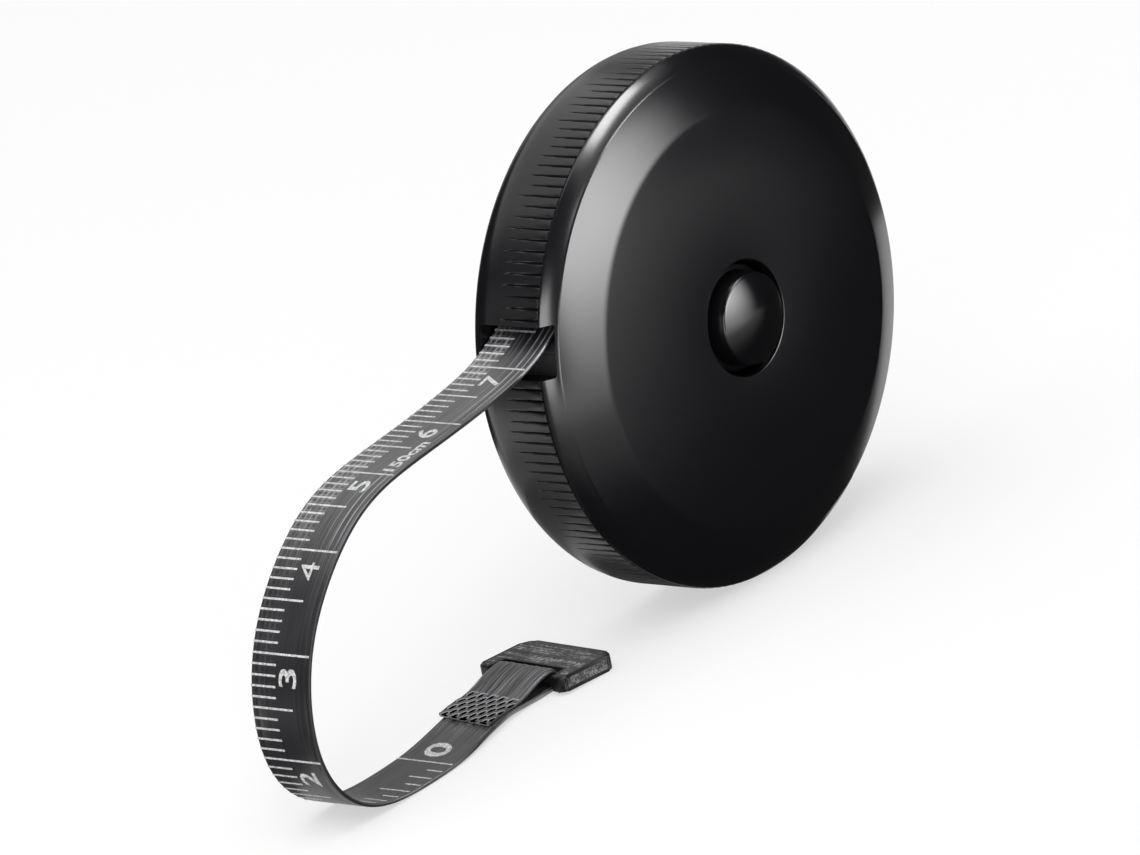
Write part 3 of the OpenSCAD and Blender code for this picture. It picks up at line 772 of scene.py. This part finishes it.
# painted light: specks everywhere on the ends, as sheen on their rough skin, and on top drag lines
# nearly parallel to the bar, bumped and lighter as painted highlights
for made, drag_share, least, lightest in ((tab_top_painted_light, 1.0, 0.0, 0.6), (tab_ends_painted_sheen, 0.0, 1.0, 0.36)):
    tree = made.node_tree
    body = tree.nodes["Principled BSDF"]
    colour, normal = (body.inputs[key].links[0].from_socket for key in ("Base Color", "Normal"))
    where = object_place(tree)
    specks = ramps(noise(where, (4200, 2600, 4200), 3, 0.65), (0.38, 0.66, 0.1, 1.0))
    patches = ramps(noise(where, (900, 700, 900), 3, 0.6), (0.36, 0.6, 0.3, 1.0))
    turned = onward("ShaderNodeMapping", {0: where, "Rotation": (0, 0, math.radians(5))})
    drag = noise(turned.outputs[0], (900, 50, 900), 3, 0.5)
    facing = axes_of(add_node(tree, "ShaderNodeNewGeometry").outputs["True Normal"])
    off_line = calc("ABSOLUTE", calc("SUBTRACT", drag, 0.5))
    streak = product(ramps(off_line, (0.0, 0.06, drag_share, 0.2)),
                     ramps(facing["Z"], (0.9, 0.99, 0.0, 1.0)))
    share = product(specks, patches, calc("MAXIMUM", streak, least))
    relief = calc("MULTIPLY_ADD", specks, 0.4, drag)
    feed(body, {"Base Color": tinted(share, colour, (lightest,) * 3),
                "Normal": bumped(relief, 0.8, 0.00005, Normal=normal)})
for finish in (tab_finish, tab_top_painted_light, tab_ends_painted_sheen):
    tab.data.materials.append(finish)
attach(tab, "tab")
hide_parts("end_tab")


# ---- The rear shell ----
# A black moulded cup with a rounded back edge and a ribbed grip round its side, open at the seam
# where the front cover snaps in. The tape's mouth is cut through its side.

axis_z = 26
total_d = 15


def rounded(points):
    """A profile of (radius, height) points; a third number rounds that corner."""
    made = []
    n = len(points)
    for k, point in enumerate(points):
        if len(point) == 2:
            made.append(point)
            continue
        here = np.array(point[:2], float)
        back = np.array(points[k - 1][:2], float) - here
        on = np.array(points[(k + 1) % n][:2], float) - here
        back, on = back / np.linalg.norm(back), on / np.linalg.norm(on)
        half = math.acos(np.clip(back @ on, -1, 1)) / 2
        reach = point[2] / math.tan(half)
        middle = here + (back + on) / np.linalg.norm(back + on) * point[2] / math.sin(half)
        a = np.array(here + back * reach) - middle
        b = np.array(here + on * reach) - middle
        span = math.acos(np.clip(a @ b / (a @ a), -1, 1))
        steps = max(2, round(math.degrees(span) / 12))
        for j in range(steps + 1):
            f = j / steps
            w = (math.sin((1 - f) * span) * a + math.sin(f * span) * b) / math.sin(span)
            made.append(tuple(middle + w))
    return made


def bulge(p, q, r, steps):
    """Points of an outward arc from p to q."""
    p, q = np.array(p, float), np.array(q, float)
    chord = q - p
    half = np.linalg.norm(chord) / 2
    middle = (p + q) / 2 + np.array([chord[1], -chord[0]]) / (2 * half) * math.sqrt(
        r * r - half * half)
    ends = (math.degrees(math.atan2(*(end - middle)[::-1])) for end in (p, q))
    return corner(*middle, r, *ends, steps)


def turned_piece(name, profile, angles):
    """A closed profile of (radius, height above the back face), turned round the reel's axis."""
    work = bmesh.new()
    rings = [[work.verts.new((r * math.cos(a), total_d / 2 - d, axis_z + r * math.sin(a)))
              for a in angles] for r, d in profile]
    for k in range(len(rings)):
        here, on = rings[k], rings[(k + 1) % len(rings)]
        if profile[k][0] < 1e-6 and profile[(k + 1) % len(rings)][0] < 1e-6:
            continue
        for j in range(len(angles)):
            m = (j + 1) % len(angles)
            work.faces.new((here[j], here[m], on[m], on[j]))
    bmesh.ops.remove_doubles(work, verts=work.verts, dist=1e-4)
    bmesh.ops.recalc_face_normals(work, faces=work.faces)
    return piece_of(work, name)


def cut_mouth(piece):
    """Cuts the tape's mouth, a block with rounded long edges, out of a piece."""
    work = bmesh.new()
    bmesh.ops.create_cube(work, size=1)
    low, high = Vector((-27.4, -3.25, 29.6)), Vector((-21.3, 5.15, 34.5))
    for v in work.verts:
        v.co = (low + high) / 2 + Vector(a * b for a, b in zip(v.co, high - low))
    long_edges = [edge for edge in work.edges
                  if abs(edge.verts[0].co.x - edge.verts[1].co.x) > 1]
    bmesh.ops.bevel(work, geom=long_edges, offset=0.25, segments=3, profile=0.5, affect="EDGES")
    block = piece_of(work, "mouth_block")
    cut = piece.modifiers.new("cut", "BOOLEAN")
    cut.operation = "DIFFERENCE"
    cut.solver = "EXACT"
    cut.object = block
    settle(piece)
    bpy.data.objects.remove(block)


rib_count = 150
shell_profile = (
    [(0, 1.3), (0, 0)] + bulge((26, 3.2), (22.8, 0), 3.2, 11)[::-1]
    + [(26, d) for d in (4.1, 4.5, 4.9, 5.3, 5.8, 6.5, 7.5, 8.5, 9.2, 9.42)]
    + [(26, 9.5), (25.97, 9.545), (25.88, 9.56), (25.5, 9.56), (24.6, 9.56), (24.6, 3.2)]
    + bulge((24.6, 3.2), (22.7, 1.3), 1.9, 5)[1:])
in_pitch = np.array((0, 0.3, 0.37, 0.43, 0.5, 0.57, 0.63, 0.7))
rib_angles = (np.arange(rib_count)[:, None] + in_pitch) * math.tau / rib_count
shell = turned_piece("back_shell", shell_profile, rib_angles.ravel())

# Presses a V groove into the side at each step round the axis. A groove is deepest at the seam and
# runs out to a point at the smooth back edge, no two quite as long as each other.
grip, start = new_group("grip grooves", "Geometry", [
    ("Shell", "Geometry"), ("Count", "Int", 150), ("Axis Height", "Float", 0.026),
    ("Side Radius", "Float", 0.0252), ("Seam", "Float", -0.00206), ("Length", "Float", 0.0046),
    ("Unevenness", "Float", 0.0006), ("Depth", "Float", 0.00021), ("Half Width", "Float", 0.16),
    ("Seed", "Int", 3), ("Finish", "Material")], [("Grooved Shell", "Geometry")])
place = axes_of(add_node(grip, "GeometryNodeInputPosition").outputs[0])
above_axis = calc("SUBTRACT", place["Z"], start["Axis Height"])
turn = calc("DIVIDE", calc("ARCTAN2", above_axis, place["X"]), math.tau)
pitches = product(turn, start["Count"])
rib = calc("FLOOR", calc("ADD", pitches, 0.001))
off_middle = calc("ABSOLUTE", calc("SUBTRACT", calc("SUBTRACT", pitches, rib), 0.5))
uneven = onward("FunctionNodeRandomValue", {
    "Min": -1.0, "Max": 1.0, "ID": rib, "Seed": start["Seed"]}, data_type="FLOAT").outputs["Value"]
own_length = calc("MULTIPLY_ADD", uneven, start["Unevenness"], start["Length"])
from_seam = calc("SUBTRACT", place["Y"], start["Seam"])
left = calc("SUBTRACT", 1.0, calc("DIVIDE", from_seam, own_length), clamp=True)
fullness = calc("POWER", left, 0.6)
own_width = calc("MAXIMUM", product(fullness, start["Half Width"]), 0.01)
side_share = calc("SUBTRACT", 1.0, calc("DIVIDE", off_middle, own_width), clamp=True)
depth = product(fullness, side_share, start["Depth"])
from_axis = onward("ShaderNodeCombineXYZ", {"X": place["X"], "Z": above_axis}).outputs[0]
radius = vector_calc("LENGTH", from_axis)
sink = calc("DIVIDE", product(depth, -1.0), radius)
end_group(start, onward("GeometryNodeSetPosition", {
    "Geometry": start["Shell"], "Offset": vector_calc("SCALE", from_axis, sink),
    "Selection": calc("GREATER_THAN", radius, start["Side Radius"])}))

case_finish = moulded("case plastic", (0.006, 0.006, 0.0075), (0.02, 0.02, 0.022), 0.3, 0.24, 0.12,
                      520.0, 0.25, 0.000004)
run_tree(shell, grip, {"Count": rib_count, "Axis Height": axis_z * 0.001, "Finish": case_finish})
cut_mouth(shell)
shade(shell.data, 22)
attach(shell, "case")
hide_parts("rear_shell")


# ---- The front cover ----
# A glossy black disc: a flat face with a hole for the button, a sloping ring and a rounded rim, with
# a ring behind that snaps into the rear shell. Its edge is notched for the tape's mouth.

cover_profile = rounded(
    [(5.57, 13, 0.15), (20.3, 13, 1.6), (24.55, 11.03, 0.1)]
    + bulge((24.6, 10.97), (25.93, 9.67), 7, 10)
    + [(25.94, 9.64), (25.91, 9.62), (25.84, 9.61), (24.9, 9.61), (24.58, 9.62),
       (24.58, 8.4, 0.15), (23.38, 8.4, 0.15), (23.38, 9.9), (19.6, 11.7), (6.97, 11.7),
       (6.97, 10.9, 0.1), (5.57, 10.9, 0.1)])
cover = turned_piece("cover", cover_profile, np.linspace(0, math.tau, 360, endpoint=False))
cut_mouth(cover)
shade(cover.data, 25)
cover.data.materials.append(moulded("cover plastic", (0.005, 0.005, 0.0065), (0.018, 0.018, 0.02),
                                    0.35, 0.2, 0.1, 420.0, 0.2, 0.000003))
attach(cover, "case")
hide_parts("front_cover")


# ---- The mouth guide ----
# A small block in the mouth's lower corner, with the rounded edge that the tape slides over. It is
# moulded in black plastic and sits in the rear shell's wall.

def dress(finish, *nodes):
    for name in nodes:
        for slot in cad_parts[name].material_slots:
            slot.material = finish


dress(moulded("guide plastic", (0.012, 0.012, 0.014), (0.03, 0.03, 0.032), 0.3, 0.35, 0.15, 800.0,
              0.4, 0.000005), "mouth_guide")


# ---- The button ----
# A polished black dome in the middle of the front. Pressing it lifts the brake off the reel, so that
# the mainspring winds the tape in. Its plate and sleeve are hidden in the case.

button_profile = rounded(
    [(0, 13.3)] + bulge((0, 15), (4.35, 14), (4.35 ** 2 + 1) / 2, 18)
    + [(4.41, 13.93), (4.43, 13.85), (4.52, 12.1), (4.65, 11.85), (5.15, 11.8, 0.1),
       (5.15, 9.3, 0.1), (9.0, 9.3, 0.1), (9.0, 8.3, 0.1), (4.15, 8.3), (4.15, 13.3),
       (3.15, 13.3), (3.15, 9.4), (2.05, 9.4), (2.05, 13.3)])
button = turned_piece("button", button_profile, np.linspace(0, math.tau, 128, endpoint=False))
shade(button.data, 30)
button.data.materials.append(moulded("button plastic", (0.004, 0.004, 0.005), (0.02, 0.02, 0.022),
                                     0.35, 0.16, 0.08, 420.0, 0.15, 0.000002))
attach(button, "button")
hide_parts("push_button")


# ---- The brake ring and the button's spring ----
# A rubber ring glued on the button's plate presses on the reel's front flange, pushed by a steel
# wire spring inside the button.

def worked(name, colour, other, metallic, roughness, scale, stretch, bump=0.000004):
    """A plain finish whose tone and roughness drift with a stretched noise."""
    made, tree, body = new_material(name)
    where = object_place(tree)
    drawn = onward("ShaderNodeMapping", {0: where, "Scale": stretch}).outputs[0]
    drift = cloud(drawn, scale, 4, 0.6)
    feed(body, {"Metallic": metallic, "Base Color": tinted(drift, colour, other),
                "Roughness": ramp(drift, 0, 1, roughness - 0.08, roughness + 0.12),
                "Normal": bumped(drift, 0.6, bump)})
    return made


rubber = worked("brake rubber", (0.02, 0.02, 0.02), (0.035, 0.034, 0.033), 0, 0.8, 1500, (1, 1, 1),
                0.00001)
spring_steel = worked("blued spring steel", (0.10, 0.11, 0.15), (0.2, 0.2, 0.23), 1, 0.3, 900,
                      (1, 0.2, 1))
dress(rubber, "brake_ring")
dress(spring_steel, "button_spring", "mainspring")


# ---- The spindle and what is on it ----
# A turned steel spindle pressed into the back wall. It carries the reel on a plastic washer, and a
# steel seat and snap ring hold the reel on it.

turned_steel = worked("turned steel", (0.42, 0.42, 0.43), (0.6, 0.6, 0.61), 1, 0.28, 1100,
                      (0.3, 4, 0.3))
washer_plastic = worked("washer plastic", (0.7, 0.7, 0.66), (0.76, 0.75, 0.7), 0, 0.4, 300,
                        (1, 1, 1))
dress(turned_steel, "spindle", "spring_seat", "retaining_clip", "spring_cover", "tape_pin")
dress(washer_plastic, "thrust_washer")


# ---- The reel ----
# Two moulded pale flanges on a drum. The mainspring winds up in the drum as the tape is pulled, and
# the tape is wound round it in fifteen turns and held by a steel pin.

reel_plastic = worked("reel plastic", (0.6, 0.6, 0.57), (0.68, 0.67, 0.64), 0, 0.45, 220, (1, 1, 1))
dress(reel_plastic, "reel_drum", "front_flange")

coil_turns = 14.85
coil_end = math.radians(112)
angles = np.linspace(coil_end - coil_turns * math.tau, coil_end, 1100)
radii = np.linspace(12.52, 18.03, len(angles))
spiral = np.stack([radii * np.cos(angles), np.full(len(angles), tape_y),
                   axis_z + radii * np.sin(angles)], axis=1)
coil_path = path_object("coil_path", spiral, np.zeros(len(angles)))
coil = bent("wound_tape", strip(np.linspace(0, lengths(spiral)[-1], len(angles)),
                                closed([(-3.65, 0), (-3.6, 0.14), (-3.5, 0.17)])),
            tape_finish, coil_path)
shade(coil.data)
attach(coil, "reel")
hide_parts("tape_coil")
for made in (coil_path, tape_path):
    bpy.data.objects.remove(made)


# ---- The floor and the light ----
# A plain white floor under soft lights from above and from the left. A soft box in front and cards
# round the case, lighter and darker ones, are there only for its gloss to mirror. Some paint the
# case's shadow on the floor for the gloss: cards under and close behind it, and the dark part near
# it of a glowing card lying in front.

def viewing(tree):
    """1 for a ray that shows the surface, straight, mirrored or through glass; 0 if it lights."""
    rays = add_node(tree, "ShaderNodeLightPath").outputs
    seen = calc("MAXIMUM", rays["Is Camera Ray"], rays["Is Glossy Ray"])
    return calc("MAXIMUM", seen, rays["Is Transmission Ray"])


def quad_mesh(name, quads):
    """A flat stage piece of the given four-cornered faces."""
    made = in_scene(name, bpy.data.meshes.new(name))
    made.data.from_pydata([corner for quad in quads for corner in quad], [],
                          [tuple(range(4 * k, 4 * k + 4)) for k in range(len(quads))])
    return made


def lying(x0, y0, x1, y1, z=0.0003):
    return [(x0, y0, z), (x1, y0, z), (x1, y1, z), (x0, y1, z)]


def upright(x0, y0, x1, y1, z0, z1):
    return [(x0, y0, z0), (x1, y1, z0), (x1, y1, z1), (x0, y0, z1)]


floor = quad_mesh("floor", [lying(-4, -4, 4, 4, -0.00002)])
white, tree, body = new_material("white floor")
tree.nodes.remove(body)
paper, pale = (add_node(tree, "ShaderNodeBsdfDiffuse", {"Color": (tone, tone, tone, 1)}).outputs[0]
               for tone in (0.86, 0.46))
glow = add_node(tree, "ShaderNodeEmission", {"Color": (1, 1, 1, 1), "Strength": 0.56}).outputs[0]
total = onward("ShaderNodeAddShader", {0: pale, 1: glow}).outputs[0]
pick = onward("ShaderNodeMixShader", {0: viewing(tree), 1: paper, 2: total}).outputs[0]
feed(tree.nodes["Material Output"], {"Surface": pick})
floor.data.materials.append(white)

world = bpy.data.worlds.new("studio")
world.use_nodes = True
scene.world = world
tree = world.node_tree
feed(tree.nodes["Background"], {"Color": (1, 1, 1, 1),
                                "Strength": ramp(viewing(tree), 0, 1, 0.42, 1.0)})


def soft_light(name, place, aim, size, radiance, diffuse=True):
    """A square or long soft light of the given radiance, which the camera doesn't see."""
    data = bpy.data.lights.new(name, "AREA")
    data.shape = "RECTANGLE"
    data.size, data.size_y = size
    data.energy = radiance * math.pi * size[0] * size[1]
    made = in_scene(name, data)
    way = Vector(place) - Vector(aim)
    made.matrix_world = Matrix.Translation(place) @ way.to_track_quat("Z", "Y").to_matrix().to_4x4()
    made.visible_camera = False
    made.visible_diffuse = diffuse


soft_light("top", (-0.35, -0.12, 1.25), (0, 0, 0), (1.4, 1.4), 1.9)
soft_light("side fill", (-1.1, -0.9, 0.9), (0, 0, 0.02), (0.9, 0.9), 1.6)
soft_light("upper strip", (0.121, -0.21, 0.463), (0, 0, 0.026), (0.25, 0.12), 30, diffuse=False)
soft_light("left strip", (-0.136, -0.1, 0.046), (0, 0, 0.046), (0.06, 0.09), 10, diffuse=False)


def card(name, quads, level):
    """Flat cards that only reflections see; level is how bright they are. Gives their light."""
    made = quad_mesh(name, quads)
    finish, tree, body = new_material(name)
    tree.nodes.remove(body)
    shine = add_node(tree, "ShaderNodeEmission", {"Color": (1, 1, 1, 1), "Strength": level})
    feed(tree.nodes["Material Output"], {"Surface": shine.outputs[0]})
    made.data.materials.append(finish)
    for ray in ("camera", "diffuse", "shadow", "transmission"):
        setattr(made, "visible_" + ray, False)
    return shine


def fading(shine, along_x, along_z):
    """A level that goes up and down over a card by smooth ramps along x and z."""
    axes = axes_of(object_place(shine.id_data))
    return product(ramps(axes["X"], *along_x), ramps(axes["Z"], *along_z))


# A soft box in front, brightest at its upper left.
shine = card("front_box", [upright(-0.05, -0.13, 0.14, -0.13, 0.001, 0.155)], 20)
feed(shine, {"Strength": fading(shine, [(-0.05, -0.034, 0.0, 18.5), (0.0, 0.125, 1.0, 0.0)],
                                [(0.0, 0.075, 0.3, 1.0), (0.105, 0.138, 1.0, 0.0)])})

# Dark cards at the right, at the left and behind, and on the floor close behind the case.
card("dark_cards", [upright(0.14, -0.3, 0.14, 0.043, 0, 0.2), lying(0.112, -0.3, 0.14, 0.03),
                    lying(-0.1, 0.055, 0.14, 0.12), upright(-0.112, -0.122, -0.052, -0.131, 0, 0.2),
                    upright(-0.2, -0.03, -0.05, -0.16, 0.1, 0.32),
                    upright(-0.35, 0.12, -0.168, 0.12, 0, 0.105),
                    upright(-0.168, 0.12, -0.12, 0.12, 0, 0.045),
                    upright(-0.12, 0.12, 0.035, 0.12, 0, 0.105)], 0.03)
# Grey ones: close behind the shell's back face, a painted shadow of the case on the floor
# there, and at the right behind it; then beside the tape.
card("case_card", [upright(-0.032, 0.0115, 0.022, 0.0115, 0.002, 0.011),
                   upright(0.035, 0.12, 0.14, 0.12, 0, 0.092)], 0.4)
# The first of these lies under the case's foot: a painted contact shadow for the gloss to mirror.
card("tape_cards", [lying(-0.018, 0.0, 0.02, 0.0112), lying(-0.16, 0.0065, -0.058, 0.055),
                    upright(-0.2, -0.03, -0.2, 0.12, 0, 0.105)], 0.1)
# Flags along the front of the tape keep the soft box off its upper side and its front edge.
card("flags", [upright(-0.3, -0.004, -0.0275, -0.004, 0.0325, 0.12),
               upright(-0.075, -0.004, -0.0275, -0.004, 0.0035, 0.0325)], 0.3)
# Pale ones behind the curl: an upright one, and one on the floor.
card("side_card", [upright(-0.168, 0.12, -0.12, 0.12, 0.045, 0.105)], 0.8)
card("low_card", [lying(-0.09, 0.035, -0.04, 0.119, 0.0004)], 2.2)

# A grey card behind and above, brightest where the tape's upper side and the upper grip see it.
shine = card("back_card", [upright(-0.35, 0.12, 0.2, 0.12, 0.105, 0.35)], 0.25)
bright = fading(shine, [(-0.115, -0.075, 0.0, 1.0), (0.08, 0.12, 1.0, 0.0)], [(0.19, 0.26, 1.0, 0.0)])
feed(shine, {"Strength": calc("MULTIPLY_ADD", bright, 1.3, 0.25)})

# A card on the floor in front that only reflections see, glowing: dark under the case as a painted
# shadow, and brighter away from it.
shine = card("front_cloth", [lying(-0.14, -0.14, 0.112, -0.0015)], 1)
far = vector_calc("DOT_PRODUCT", object_place(shine.id_data), (-0.45, -1, 0))
feed(shine, {"Strength": ramps(far, (0.026, 0.064, 0.03, 0.9), (0.068, 0.11, 1.0, 4.0))})
